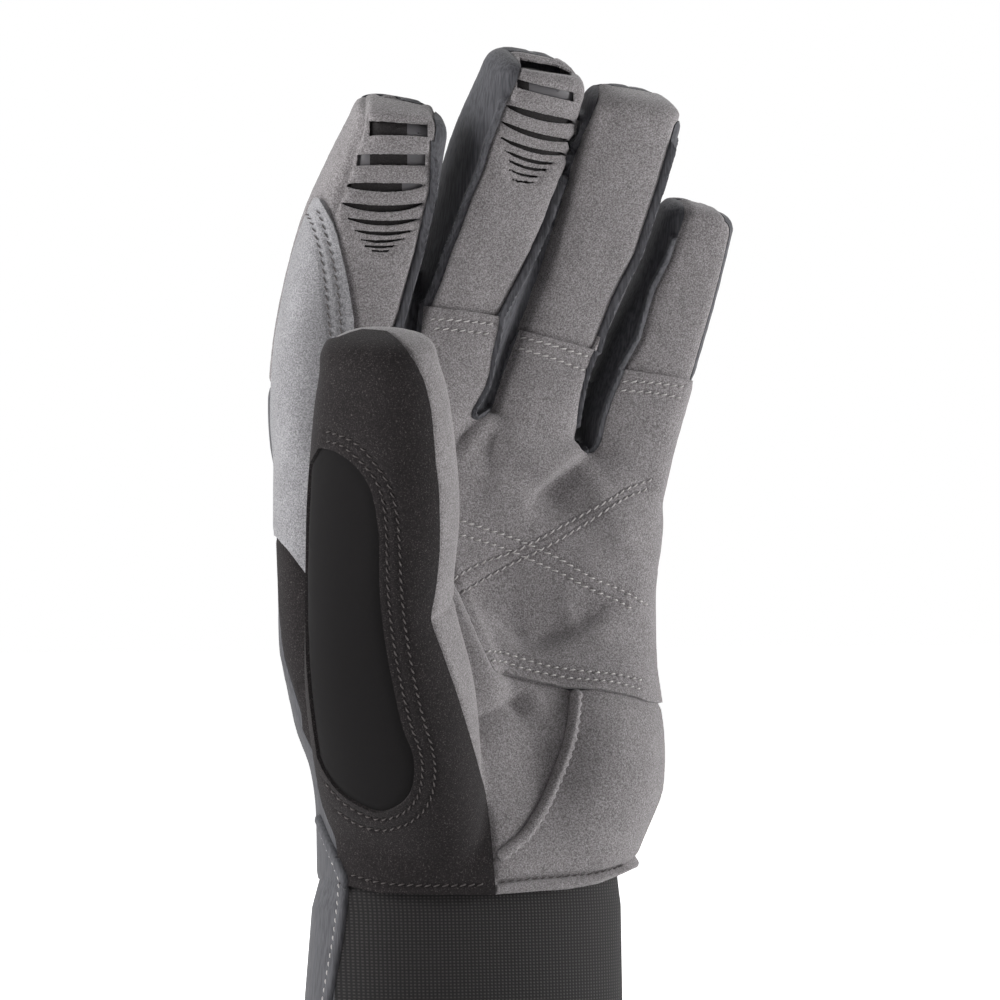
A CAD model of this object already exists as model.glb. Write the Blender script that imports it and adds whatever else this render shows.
# A mountain bike glove for the left hand, seen on its palm side: a suede palm, slotted fingertips, a wiping
# pad on the thumb and a long knitted cuff. It holds the form of the hand that fills it.
# Sizes are in millimetres until a piece is made, which turns them into metres. +Z runs to the fingertips,
# the palm faces -Y, and the thumb is on -X.
import math

import bpy
import numpy as np
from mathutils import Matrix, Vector
from mathutils.bvhtree import BVHTree
from mathutils.kdtree import KDTree


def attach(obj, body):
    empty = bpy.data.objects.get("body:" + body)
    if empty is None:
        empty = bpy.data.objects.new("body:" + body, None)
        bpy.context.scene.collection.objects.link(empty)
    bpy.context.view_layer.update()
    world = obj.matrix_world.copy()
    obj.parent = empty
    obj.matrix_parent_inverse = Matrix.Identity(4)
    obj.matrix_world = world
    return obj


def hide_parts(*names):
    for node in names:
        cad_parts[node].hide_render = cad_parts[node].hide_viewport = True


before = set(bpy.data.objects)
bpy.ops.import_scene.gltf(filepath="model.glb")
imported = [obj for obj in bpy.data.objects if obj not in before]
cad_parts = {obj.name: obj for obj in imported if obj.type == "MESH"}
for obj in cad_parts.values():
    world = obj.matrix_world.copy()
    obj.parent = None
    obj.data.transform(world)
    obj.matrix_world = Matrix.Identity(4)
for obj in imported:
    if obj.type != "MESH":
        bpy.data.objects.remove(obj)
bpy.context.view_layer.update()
scene = bpy.context.scene
MM = 0.001

# The studio: a camera turned a little to the thumb's side, a white sweep of floor, and large soft lamps
# at both sides, which leave the palm darker than the sides of the hand.
VIEW_TURN = math.radians(20)
INTO = np.array([math.sin(VIEW_TURN), math.cos(VIEW_TURN), 0])
ACROSS = np.array([math.cos(VIEW_TURN), -math.sin(VIEW_TURN), 0])
CAMERA_DISTANCE = 1550
CAMERA_TARGET = np.array([8.6, -3.1, 146.4])
VIEW_WIDTH = 240


def linear(hex_colour):
    """An sRGB hex value as the linear colour that a socket takes."""
    channels = [int(hex_colour[i : i + 2], 16) / 255 for i in (1, 3, 5)]
    return (*[c / 12.92 if c <= 0.04045 else ((c + 0.055) / 1.055) ** 2.4 for c in channels], 1)


def add_node(tree, kind, inputs=None, **settings):
    """Adds a node with its own settings, and the values or links of its sockets."""
    made = tree.nodes.new(kind)
    for name, value in settings.items():
        setattr(made, name, value)
    for name, value in (inputs or {}).items():
        if isinstance(value, bpy.types.NodeSocket):
            tree.links.new(value, made.inputs[name])
        else:
            made.inputs[name].default_value = value
    return made


def new_material(name, values):
    """A material with its node tree and its shader, and the values of the shader's sockets."""
    made = bpy.data.materials.new(name)
    made.use_nodes = True
    shader = made.node_tree.nodes["Principled BSDF"]
    for socket, value in values.items():
        shader.inputs[socket].default_value = value
    return made, made.node_tree, shader


camera = bpy.data.objects.new("camera", bpy.data.cameras.new("camera"))
scene.collection.objects.link(camera)
camera.location = (CAMERA_TARGET - INTO * CAMERA_DISTANCE) * MM
camera.rotation_euler = Vector(INTO).to_track_quat("-Z", "Y").to_euler()
camera.data.angle = 2 * math.atan(VIEW_WIDTH / 2 / CAMERA_DISTANCE)
camera.data.clip_start = 0.05
camera.data.clip_end = 20
scene.camera = camera
scene.view_settings.view_transform = "Standard"

LAMPS = [
    # name, place, size, power in watts
    ("left_softbox", (-1000, -250, 420), 700, 9.8),
    ("left_rim", (-900, 500, 300), 700, 3.4),
    ("front_reflector", (-300, -1300, -100), 900, 2.6),
    ("right_softbox", (1000, -250, 420), 700, 2.8),
    ("right_reflector", (900, -300, 80), 500, 10.4),
    ("top_rim", (0, 600, 1100), 800, 6.4),
]
for lamp_name, place, size, power in LAMPS:
    lamp = bpy.data.objects.new(lamp_name, bpy.data.lights.new(lamp_name, "AREA"))
    scene.collection.objects.link(lamp)
    lamp.location = Vector(place) * MM
    lamp.rotation_euler = (Vector(CAMERA_TARGET) - Vector(place)).to_track_quat("-Z", "Y").to_euler()
    lamp.data.size = size * MM
    lamp.data.energy = power

# The world is white to the camera, and lends the glove hardly any light.
world = bpy.data.worlds.new("white_studio")
scene.world = world
world.use_nodes = True
sky = world.node_tree
sky.nodes.clear()
seen = add_node(sky, "ShaderNodeBackground", {"Color": linear("#ffffff")})
fill = add_node(sky, "ShaderNodeBackground", {"Color": linear("#ffffff"), "Strength": 0.02})
rays = add_node(sky, "ShaderNodeLightPath")
mixed = {0: rays.outputs["Is Camera Ray"], 1: fill.outputs[0], 2: seen.outputs[0]}
both = add_node(sky, "ShaderNodeMixShader", mixed)
add_node(sky, "ShaderNodeOutputWorld", {"Surface": both.outputs[0]})

# White paper, matt: it glows for the camera alone, so that the ground is pure white round the glove.
FLOOR_SIZE = 9000
end = FLOOR_SIZE / 2 * MM
floor_mesh = bpy.data.meshes.new("floor")
floor_mesh.from_pydata([(-end, -end, 0), (end, -end, 0), (end, end, 0), (-end, end, 0)], [], [(0, 1, 2, 3)])
floor = bpy.data.objects.new("floor", floor_mesh)
scene.collection.objects.link(floor)
paper, paper_tree, paper_shader = new_material("white_paper_sweep", {
    "Base Color": linear("#f4f4f4"), "Roughness": 0.9, "Emission Color": linear("#ffffff"),
})
paper_rays = add_node(paper_tree, "ShaderNodeLightPath")
paper_tree.links.new(paper_rays.outputs["Is Camera Ray"], paper_shader.inputs["Emission Strength"])
floor_mesh.materials.append(paper)

# The form that the panels are sewn to: the hand's body, four fingers and a thumb, each lofted through
# its measured sections, then joined into one smooth skin. Every panel of cloth is cut from this skin.
SKIN_GRAIN = 1.2
RING_SIDES = 72
HAND_ROUNDNESS = 2.5
HAND = np.array([
    # z, slope, x, half width, front, back
    [48, 0.05, 2.7, 37.7, 26.4, 26],
    [52, 0.05, 2.7, 37.7, 26.4, 26],
    [61, 0.04, 4.1, 39, 26.2, 25.6],
    [75, 0.02, 7, 42.6, 25, 23],
    [83, 0, 6.6, 43.8, 23.4, 21.8],
    [91, 0, 4.8, 45.6, 22, 20.5],
    [108, -0.05, 1.6, 46.9, 19, 18.5],
    [132, -0.16, 1, 47.4, 16.8, 17.2],
    [155, -0.3, 2.3, 48.4, 15.4, 17],
    [164, -0.34, 2.8, 47.4, 13.4, 15],
    [168, -0.36, 2.8, 45.2, 10.5, 12],
])
PALM_RELIEF = [
    # x, z, reach across, reach along, depth
    (6, 128, 24, 22, 6.4),
    (14, 82, 9, 20, 2.8),
    (34, 84, 14, 20, -2.2),
    (26, 112, 18, 5, 1.2),
    (-6, 152, 8, 9, 1.4),
    (20, 148, 8, 9, 1.4),
]
FINGER_ROUNDNESS = 3.2
THUMB_ROUNDNESS = 2.4
TIP_ROUNDNESS = 3.4
TIP_STEPS = 10
TIP_END = 0.03
RING_STEP = 1.0
BONE_STEP = 1.0
CURVE_STEPS = 40
DIGITS = {
    # rows of x, y, z, half width, half depth; then roll in degrees, length of the rounded tip, roundness
    "index": ([[-31.6, 1, 138, 9, 9.5], [-33.1, 1.6, 160, 13.4, 12.2], [-31.6, 1, 182, 14.6, 12.4],
               [-27.8, -4, 206, 14.6, 11.8], [-24.1, -10, 222, 13.4, 11], [-22, -16.5, 234.3, 11.4, 9.8]],
              0, 6.4, FINGER_ROUNDNESS),
    "middle": ([[-10.9, 2, 138, 8.5, 9.5], [-8.8, 1.6, 160, 10.2, 12.5], [-4.2, 0.8, 182, 11.6, 13],
                [2.8, -3, 206, 12.3, 13], [7.6, -9.6, 228, 12.9, 12.6], [11.3, -17.6, 245.4, 12, 10.6]],
               9, 6.8, FINGER_ROUNDNESS),
    "ring": ([[10.4, 2, 138, 8.5, 9.5], [14.2, 1.6, 159, 11, 12], [21.2, 0.5, 182, 11.2, 11.8],
              [30, -4, 206, 11.8, 11.4], [34.4, -10, 223, 12, 10.8], [36.9, -16, 238, 11.8, 9.8]],
             4, 6.8, FINGER_ROUNDNESS),
    "little": ([[36, 3, 126, 7, 8], [40, 2.6, 146, 10, 10.8], [42.2, 2, 163, 12, 11],
                [48.4, 1, 182, 11.6, 10.4], [53.7, -2, 198, 10.2, 9.8], [57.2, -6, 212.5, 9.2, 8.6]],
               0, 6, FINGER_ROUNDNESS),
    "thumb": ([[-13, -7, 55, 17, 12], [-18.5, -12, 70, 19.5, 12], [-27.4, -28, 100, 20, 15],
               [-33.6, -38, 123, 17, 14.5], [-35.8, -47, 146, 17.4, 14.5], [-38.6, -54.5, 168, 15.4, 12.8],
               [-40.4, -57.5, 177.5, 13.4, 11]],
              130, 7.4, THUMB_ROUNDNESS),
}


def run_along(points):
    """The length of a line up to each of its points."""
    return np.concatenate([[0], np.cumsum(np.linalg.norm(np.diff(points, axis=0), axis=1))])


def sampled(rows, run, at):
    """Every column of the rows, read at other places along their run."""
    return np.stack([np.interp(at, run, column) for column in rows.T], axis=1)


def smooth_line(rows, step):
    """Points along a curve that passes through the rows, about a step apart by their first three columns."""
    rows = np.asarray(rows, float)
    padded = np.vstack([2 * rows[0] - rows[1], rows, 2 * rows[-1] - rows[-2]])
    fine = []
    for a, b, c, d in zip(padded, padded[1:], padded[2:], padded[3:]):
        t = np.linspace(0, 1, CURVE_STEPS, endpoint=False)[:, None]
        curve = 2 * b + (c - a) * t + (2 * a - 5 * b + 4 * c - d) * t**2 + (3 * b - a - 3 * c + d) * t**3
        fine.append(0.5 * curve)
    fine = np.vstack([*fine, rows[-1:]])
    run = run_along(fine[:, :3])
    return sampled(fine, run, np.linspace(0, run[-1], max(2, round(run[-1] / step) + 1)))


def unit(vectors):
    return vectors / np.maximum(np.linalg.norm(vectors, axis=-1, keepdims=True), 1e-12)


def bone_frame(name):
    """Stations along a digit: middle, forward, across, through, half width and half depth."""
    bone, roll, _, _ = DIGITS[name]
    line = smooth_line(bone, BONE_STEP)
    middle, sizes = line[:, :3], line[:, 3:]
    forward = unit(np.gradient(middle, axis=0))
    across = unit(np.cross([0, 1, 0], forward))
    through = np.cross(forward, across)
    turn = math.radians(roll)
    across, through = (
        across * math.cos(turn) + through * math.sin(turn),
        through * math.cos(turn) - across * math.sin(turn),
    )
    return middle, forward, across, through, sizes


def oblong(turns, roundness):
    """A ring's width and depth at the turns. A higher roundness fills its corners."""
    ring = np.stack([np.cos(turns), np.sin(turns)])
    return np.sign(ring) * np.abs(ring) ** (2 / roundness)


def loft(rings):
    """A closed body of faces through rings of points, capped at both ends."""
    count, sides = rings.shape[:2]
    points = np.vstack([rings.reshape(-1, 3), rings[0].mean(0), rings[-1].mean(0)])
    low = (np.arange(count - 1)[:, None] * sides + np.arange(sides)).ravel()
    after = (np.arange(count - 1)[:, None] * sides + (np.arange(sides) + 1) % sides).ravel()
    walls = np.stack([low, after, after + sides, low + sides], axis=1).tolist()
    last = (count - 1) * sides
    ends = [(count * sides, (j + 1) % sides, j) for j in range(sides)]
    ends += [(count * sides + 1, last + j, last + (j + 1) % sides) for j in range(sides)]
    return points, walls + ends


def hand_rings():
    """The hand's body in rings from the wrist up, with its hollows and swellings."""
    rows = sampled(HAND, HAND[:, 0], np.arange(HAND[0, 0], HAND[-1, 0] + RING_STEP / 100, RING_STEP))
    soften = np.array([1, 3, 5, 6, 5, 3, 1]) / 24
    for column in range(2, rows.shape[1]):
        ends = np.pad(rows[:, column], 3, mode="reflect", reflect_type="odd")
        rows[:, column] = np.convolve(ends, soften, mode="valid")
    turns = np.linspace(0, 2 * math.pi, 2 * RING_SIDES, endpoint=False)
    wide, deep = oblong(turns, HAND_ROUNDNESS)
    z, slope, middle, half, front, behind = (column[:, None] for column in rows.T)
    depth = np.where(deep < 0, front, behind)
    x = middle + half * wide
    y = depth * deep
    height = z + slope * half * wide
    press = 0
    for at_x, at_z, reach_x, reach_z, relief in PALM_RELIEF:
        press = press + relief * np.exp(-(((x - at_x) / reach_x) ** 2) - ((height - at_z) / reach_z) ** 2)
    y = np.where(deep < 0, y + press * np.minimum(1, -2 * y / depth), y)
    return np.stack([x, y, height], axis=-1)


def digit_rings(name):
    """A digit's rings along its bone line, and those of its rounded tip."""
    middle, forward, across, through, sizes = bone_frame(name)
    _, _, tip, roundness = DIGITS[name]
    turns = np.linspace(0, 2 * math.pi, RING_SIDES, endpoint=False)
    wide, deep = oblong(turns, roundness)
    rings = []
    for centre, aside, inward, (w, d) in zip(middle, across, through, sizes):
        rings.append(centre + np.outer(wide * w, aside) + np.outer(deep * d, inward))
    for rise in np.sin(np.linspace(0, math.pi / 2, TIP_STEPS)[1:]):
        scale = TIP_END + (1 - TIP_END) * max(1 - rise**TIP_ROUNDNESS, 0) ** (1 / TIP_ROUNDNESS)
        centre = middle[-1] + forward[-1] * tip * rise
        w, d = sizes[-1] * scale
        rings.append(centre + np.outer(wide * w, across[-1]) + np.outer(deep * d, through[-1]))
    return np.array(rings)


def new_object(name, points, faces):
    """A mesh object, its points given in millimetres."""
    mesh = bpy.data.meshes.new(name)
    mesh.from_pydata((np.asarray(points) * MM).tolist(), [], np.asarray(faces, dtype=object).tolist())
    mesh.validate()
    mesh.shade_smooth()
    made = bpy.data.objects.new(name, mesh)
    scene.collection.objects.link(made)
    return made


def triangles_of(mesh):
    """A mesh's points in millimetres, and its triangles."""
    mesh.calc_loop_triangles()
    points = np.zeros(len(mesh.vertices) * 3)
    faces = np.zeros(len(mesh.loop_triangles) * 3, np.int32)
    mesh.vertices.foreach_get("co", points)
    mesh.loop_triangles.foreach_get("vertices", faces)
    return points.reshape(-1, 3) / MM, faces.reshape(-1, 3).astype(int)


def normals_of(points, faces):
    """Smooth normals at the points, by the areas of the faces round each."""
    across = np.cross(points[faces[:, 1]] - points[faces[:, 0]], points[faces[:, 2]] - points[faces[:, 0]])
    total = np.zeros_like(points)
    for corner in range(3):
        np.add.at(total, faces[:, corner], across)
    return unit(total)


def edges_of(faces):
    """The edges of all faces: their first edges, then their second ones, and so on."""
    return np.stack([faces.T.ravel(), np.roll(faces, -1, axis=1).T.ravel()], axis=1)


def relaxed(points, faces, rounds):
    """Evens out a skin: each point moves half the way to the middle of its neighbours."""
    pairs = np.unique(np.sort(edges_of(faces), axis=1), axis=0)
    count = np.bincount(pairs.ravel(), minlength=len(points))[:, None]
    for _ in range(rounds):
        total = np.zeros_like(points)
        np.add.at(total, pairs[:, 0], points[pairs[:, 1]])
        np.add.at(total, pairs[:, 1], points[pairs[:, 0]])
        points = points + (total / np.maximum(count, 1) - points) / 2
    return points


all_points, all_faces = [], []
for rings in [hand_rings(), *[digit_rings(name) for name in DIGITS]]:
    ring_points, ring_faces = loft(rings)
    start = sum(len(p) for p in all_points)
    all_points.append(ring_points)
    all_faces += [[start + i for i in face] for face in ring_faces]
form = new_object("form", np.vstack(all_points), all_faces)
form.modifiers.new("one_skin", "REMESH").mode = "VOXEL"
form.modifiers["one_skin"].voxel_size = SKIN_GRAIN * MM
skin_mesh = form.evaluated_get(bpy.context.evaluated_depsgraph_get()).to_mesh()
skin, skin_faces = triangles_of(skin_mesh)
bpy.data.objects.remove(form)
skin = relaxed(skin, skin_faces, rounds=4)

# Creases and folds that the bent hand presses into the cloth, drawn in the plane that faces the camera:
# across it towards the little finger, and up. Each runs from one place to another. It reaches its own
# way to the left and to the right of that line, and stands up where its depth is under nought.
CREASES = [
    # from across, z, to across, z, reach to the left, to the right, depth
    (4.4, 166.5, -2.5, 157, 1.8, 4.6, 3.2),
    (1.5, 165, -6, 161, 3.5, 3.5, -0.8),
    (9.5, 165, 6.5, 152, 2.0, 5.5, 2.6),
    (14, 158, 24, 152, 3.5, 3.0, -1.0),
    (29.2, 156.4, 18.5, 146, 5.5, 1.8, 3.4),
    (32.5, 156, 39, 147, 2.2, 4.0, 1.0),
    (36, 160, 44, 154, 4.0, 4.0, -0.7),
    (14, 151, 32, 143, 6.0, 4.0, 2.0),
    (-4, 148, 14, 149, 5.0, 4.0, 1.4),
    (33, 146, 42, 133, 5.0, 3.0, -0.8),
    (36, 131, 45, 128, 4.0, 4.0, 0.9),
    (7, 121, 17, 113.6, 6.5, 3.4, 2.1),
    (17, 113.6, 27, 116.5, 7.5, 2.6, 2.6),
    (27, 116.5, 35, 122, 5.5, 2.6, 1.7),
    (36, 117, 46, 112, 4.0, 4.0, 0.9),
    (10.4, 99.5, 15.5, 94.5, 2.6, 1.4, 1.6),
    (15, 101, 21, 96, 2.5, 3.5, -0.9),
    (18, 88, 8, 74, 6.0, 6.0, 0.6),
]
CREASE_START, CREASE_END = 0.2, 0.9
# The ball of the thumb bulges over the palm along this line, and fades out to the left.
BALL_EDGE = (-4.4, 129, 10.6, 98.6)
BALL_LEFT = -12
BALL_BLEND = 8
BALL_RISE = 6.0
BALL_REACH = 20
BALL_SIDE = 2.0
BALL_FADE = 0.34
THUMB_DEPTH = -30


def facing(points):
    """Places in the plane that faces the camera: across it and up."""
    return np.stack([points @ ACROSS, points[:, 2]], axis=1)


def from_segment(places, start, end):
    """How far places are from a straight piece of a line, and how far along it."""
    run = end - start
    share = np.clip(((places - start) @ run) / max(run @ run, 1e-9), 0, 1)
    return np.linalg.norm(places - start - share[:, None] * run, axis=1), share


skin_normals = normals_of(skin, skin_faces)
on_palm = (skin_normals @ INTO < 0) & (skin[:, 1] > THUMB_DEPTH)
places = facing(skin)
for a, b, c, d, left_reach, right_reach, depth in CREASES:
    start, end = np.array([a, b]), np.array([c, d])
    distance, share = from_segment(places, start, end)
    aside = (places - start) @ np.array([d - b, a - c])
    turned = aside / (np.linalg.norm(end - start) * np.maximum(distance, 1e-6))
    reach = (left_reach + right_reach) / 2 + turned * (right_reach - left_reach) / 2
    along = CREASE_START + (CREASE_END - CREASE_START) * share
    press = depth * np.exp(-((distance / reach) ** 2)) * np.sin(math.pi * along)
    skin -= skin_normals * (press * on_palm)[:, None]
start, end = np.array(BALL_EDGE[:2]), np.array(BALL_EDGE[2:])
distance, share = from_segment(places, start, end)
aside = (places - start) @ np.array([end[1] - start[1], start[0] - end[0]])
swell = BALL_RISE * np.exp(-((distance / np.where(aside > 0, BALL_REACH, BALL_SIDE)) ** 2))
swell *= np.clip(share / BALL_FADE, 0, 1) * np.clip((1 - share) / BALL_FADE, 0, 1) ** 0.5
swell *= np.clip((places[:, 0] - BALL_LEFT) / BALL_BLEND, 0, 1)
skin -= INTO * (swell * on_palm)[:, None]
skin_normals = normals_of(skin, skin_faces)


# How the skin is cut: a field is under nought inside a region, and the edges that its zero line crosses
# are cut there, so that a seam runs smoothly across the faces. A point that lies close to the line counts
# as on it.
SNAP = 0.08
CUT_MARGIN = 1.5
SEAM_STEP = 2.0


def cut_along(points, normals, faces, values, others):
    """Cuts the faces along the values' zero line, as far as the other fields of the region reach."""
    values = np.where(np.abs(values) < SNAP, 0, values)
    edges = edges_of(faces)
    edges = edges[values[edges[:, 0]] * values[edges[:, 1]] < 0]
    edges = edges[others[edges].mean(1) < CUT_MARGIN]
    if not len(edges):
        return points, normals, faces
    edges = np.unique(np.sort(edges, axis=1), axis=0)
    share = (values[edges[:, 0]] / (values[edges[:, 0]] - values[edges[:, 1]]))[:, None]

    def at_crossing(what):
        return what[edges[:, 0]] * (1 - share) + what[edges[:, 1]] * share

    new = {(int(a), int(b)): len(points) + i for i, (a, b) in enumerate(edges)}
    touched = np.zeros(len(points), bool)
    touched[edges] = True
    hit = touched[faces].sum(1) > 1
    kept, made = [faces[~hit]], []
    crossing_normals = unit(at_crossing(normals))
    points, normals = np.vstack([points, at_crossing(points)]), np.vstack([normals, crossing_normals])
    for face in faces[hit].tolist():
        between = [new.get((min(face[i], face[i - 2]), max(face[i], face[i - 2]))) for i in range(3)]
        found = [i for i in range(3) if between[i] is not None]
        if not found:
            made.append(face)
        elif len(found) == 1:
            turn = found[0]
            a, b, c = face[turn:] + face[:turn]
            middle = between[turn]
            made += [(a, middle, c), (middle, b, c)]
        else:
            turn = next(i for i in range(3) if between[i] is not None and between[i - 1] is not None)
            a, b, c = face[turn:] + face[:turn]
            near, far = between[turn], between[turn - 1]
            made += [(a, near, far), (near, b, c), (near, c, far)]
    return points, normals, np.vstack([*kept, np.array(made)])


def inside(outline):
    """The field of an outline in the facing plane: under nought inside, by the distance to its line."""
    outline = np.asarray(outline, float)

    def field(points):
        places = facing(points)
        distance, within = np.full(len(places), np.inf), np.zeros(len(places), bool)
        for start, end in zip(outline, np.roll(outline, -1, axis=0)):
            distance = np.minimum(distance, from_segment(places, start, end)[0])
            spans = (start[1] > places[:, 1]) != (end[1] > places[:, 1])
            slope = (end[0] - start[0]) / (end[1] - start[1] if end[1] != start[1] else 1e-9)
            within ^= spans & (places[:, 0] < start[0] + slope * (places[:, 1] - start[1]))
        return np.where(within, -distance, distance)

    return field


def rounded(rows):
    """A smooth line through the rows of an outline."""
    return smooth_line(rows, SEAM_STEP)


bones = {name: bone_frame(name) for name in DIGITS}
NOT_HERE = 60.0
DIGIT_REACH = 24


def on_digit(name, points):
    """Places on a digit: across it, through it, along it, and its half width and half depth there."""
    middle, forward, across, through, sizes = bones[name]
    run = run_along(middle)
    close = (points > middle.min(0) - DIGIT_REACH) & (points < middle.max(0) + DIGIT_REACH)
    near = np.flatnonzero(close.all(1))
    here = points[near]
    station = ((here**2).sum(1)[:, None] - 2 * here @ middle.T + (middle**2).sum(1)).argmin(1)
    off = here - middle[station]
    placed = np.zeros((5, len(points)))
    placed[:3] = NOT_HERE
    placed[0, near] = (off * across[station]).sum(1)
    placed[1, near] = (off * through[station]).sum(1)
    placed[2, near] = run[station] + (off * forward[station]).sum(1)
    placed[3:, near] = sizes[station].T
    return placed


# The regions of the skin, first come first served. Each is the places where all its fields are under
# nought. The sizes are those of the seams on the real glove, read in the facing plane.
FAR = 90
SPARE_WIDTH = 1.4
# How far round a finger its strip reaches, and where it folds over the tip, as shares of the finger's
# half width and half depth.
SIDE_STRIP = 0.7
SIDE_REACH = 1.3
TIP_FOLD = 0.6
TIP_FOLD_START = 0.3
TIP_FOLD_BACK = 0.35
STRIP_START = 30
SIDE_SEAMS = np.array([
    # z, Y of the seam on the thumb's side, and on the little finger's
    [-4, -10, 8], [50, -10, 8], [78, -7, 6], [120, 4, 5], [150, 5, 1], [185, 4, -6], [205, 0, -8],
    [222, -7, -10], [300, -40, -30],
])
THUMB_SIDE_X, LITTLE_SIDE_X = -22, 28
# The seams and edges in the facing plane, as rows of across and z.
HEEL_SEAM = [[FAR, 93], [48.1, 97.4], [41.6, 99.2], [32.2, 101.3], [24.6, 101.7], [20.7, 102.6],
             [15.3, 103.7], [9.6, 105.3]]
GUSSET_SEAM = [[9.6, 105.3], [8.2, 106.4], [5.2, 112.5], [-2.4, 128.5], [-14, 141], [-28, 137]]
PIPING_LINE = [[26.4, 101], [25.9, 92.8], [24.5, 86.8], [21.8, 79.8], [18.6, 73.1], [14.4, 66.9],
               [10, 63.2], [6.6, 60]]
HEM_LINE = [[-FAR, 59], [-32, 58.5], [-26.3, 57.2], [-19.1, 55.9], [-9.7, 55.4], [8.2, 55.8], [17, 56.5],
            [25.2, 56.9], [31.6, 57.4], [38.1, 58.7], [42.2, 60.6], [FAR, 62]]
HEM_EDGE = [[-FAR, 56], [-32, 55.8], [-27, 55.3], [-19.1, 53.8], [-9.7, 53.5], [8, 53.2], [18.4, 53.8],
            [25.2, 54], [32.6, 55], [40.5, 57.5], [FAR, 59]]
RADIAL_EDGE = [[-33.2, 217.6], [-30.7, 212.9], [-29.1, 207.7], [-27.5, 200.7], [-26.3, 193.7],
               [-25.6, 186.6], [-26.4, 165], [-31, 143], [-36.3, 128.7]]
RADIAL_FOOT = [[-36.3, 128.7], [-40.6, 134.6], [-43.5, 137.9], [-FAR, 146]]
THUMB_EDGE = [[8.2, 50], [7.9, 54.3], [7, 65.8], [5.5, 75.6], [3.6, 83.9], [1, 93.7], [-1.7, 102.7],
              [-4.8, 111.7], [-7.1, 118.7], [-6.4, 123.9], [-5.7, 129], [-5.1, 136.4], [-5.2, 147.4],
              [-5.9, 154.8], [-7.4, 169.2], [-11, 178.5], [-18.6, 185.4], [-29, 183]]
THUMB_INSET = [[-32.1, 158.4], [-29.1, 157.9], [-25.4, 155.8], [-22.5, 152.9], [-20, 148.1],
               [-18.9, 142.3], [-18.4, 136.4], [-18.4, 125.4], [-17.3, 114.1], [-15.5, 103.7],
               [-13.4, 93.9], [-11.2, 88], [-10.8, 83.2], [-11.7, 78.3], [-14.3, 75.1], [-18.5, 73.2],
               [-22.6, 74.2], [-27.9, 77.5], [-31.7, 82.4], [-34.6, 89.5], [-37, 100.1], [-38, 108],
               [-38.6, 125], [-38.4, 146]]
SIDES_START = {"index": 34.2, "middle": 25, "ring": 18, "little": 27}
STRIP_LEFT = {
    # the seam at the left edge of a finger's palm strip, from the root up
    "index": [[-30.2, 213.6], [-27.9, 218.3], [-26.2, 224.1], [-25, 228.7], [-23.3, 233.4], [-22.7, 239.9]],
    "middle": [[-8.7, 190.5], [-5.1, 198.8], [-2.7, 205.9], [-1.1, 209.4], [2, 217.6], [5.1, 224.6],
               [6.8, 230.5], [8.7, 235.1], [10.3, 239.8], [13.2, 245.6], [14.8, 252]],
    "ring": [[13.2, 187.2], [16.3, 196.8], [18.7, 204], [20.7, 211.2], [23.5, 218.3], [27.1, 230.1],
             [30.6, 238.3], [32.5, 243]],
    "little": [[38.5, 177.2], [42.9, 184.9], [46.4, 196.9], [50, 204], [52.3, 211.2], [53.5, 214.8]],
}
STRIP_RIGHT = {
    "index": [[-16.3, 185.6], [-14.6, 190.3], [-12.9, 196.8], [-10.5, 205.2], [-8.9, 212.4], [-7.1, 219.5],
              [-6.9, 226.6], [-6.9, 233.5], [-5.9, 238.7]],
    "middle": [[8.7, 190], [13.4, 199], [17, 206], [20, 212.8], [24.6, 225.4], [27.6, 234.5], [30, 245.3],
               [34, 252]],
    "ring": [[31.2, 182], [32.3, 184.5], [36.3, 194.7], [41.8, 205.5], [47.2, 221.8], [51.4, 236.3],
             [60, 244]],
}
STRIP_BASE = {
    # the palm's upper edge, which laps over the strip's lower end
    "index": [[-40, 186], [-10, 184]], "middle": [[-8.6, 192.5], [8.7, 190.2]],
    "ring": [[14, 187.1], [23.5, 184.5], [32, 182.4]], "little": [[39.4, 177.8], [55.9, 175.3]],
}
CROTCHES = [
    # the palm's edge round the gaps between the fingers, from the index finger on
    [[-16.3, 184.5], [-14.5, 176], [-11.5, 172], [-10, 178]],
    [[8.9, 194.4], [8.5, 188.2], [6.9, 181.2], [5.8, 175.4], [4.2, 171.8], [2.2, 168.2], [1.7, 166.2],
     [3.6, 165.2], [6.8, 167.4], [9.1, 174], [11.5, 180]],
    [[33.1, 187.2], [29.5, 177.6], [27.7, 170.4], [26.9, 163.2], [27.2, 160.2], [28.6, 157.8], [30.6, 157],
     [32.6, 158.2], [33.9, 161.2], [34.6, 165], [36.3, 170.5]],
]
THUMB_SPARE = 4
THUMB_DIVIDE = -32
THUMB_BACK_START, THUMB_BACK_EDGE = 44, 0.1
THUMB_PALM_START, THUMB_PALM_BACK, THUMB_PALM_FRONT = 78, 0.5, 1.15
INSET_START, INSET_REACH = 14, 15.5


def to_palm_side(points):
    """Under nought on the palm side of the side seams."""
    thumb = np.interp(points[:, 2], SIDE_SEAMS[:, 0], SIDE_SEAMS[:, 1])
    little = np.interp(points[:, 2], SIDE_SEAMS[:, 0], SIDE_SEAMS[:, 2])
    share = np.clip((points[:, 0] - THUMB_SIDE_X) / (LITTLE_SIDE_X - THUMB_SIDE_X), 0, 1)
    return points[:, 1] - thumb * (1 - share) - little * share


def shaft_of(name):
    """The length of a digit up to its rounded tip."""
    return run_along(bones[name][0])[-1]


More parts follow.
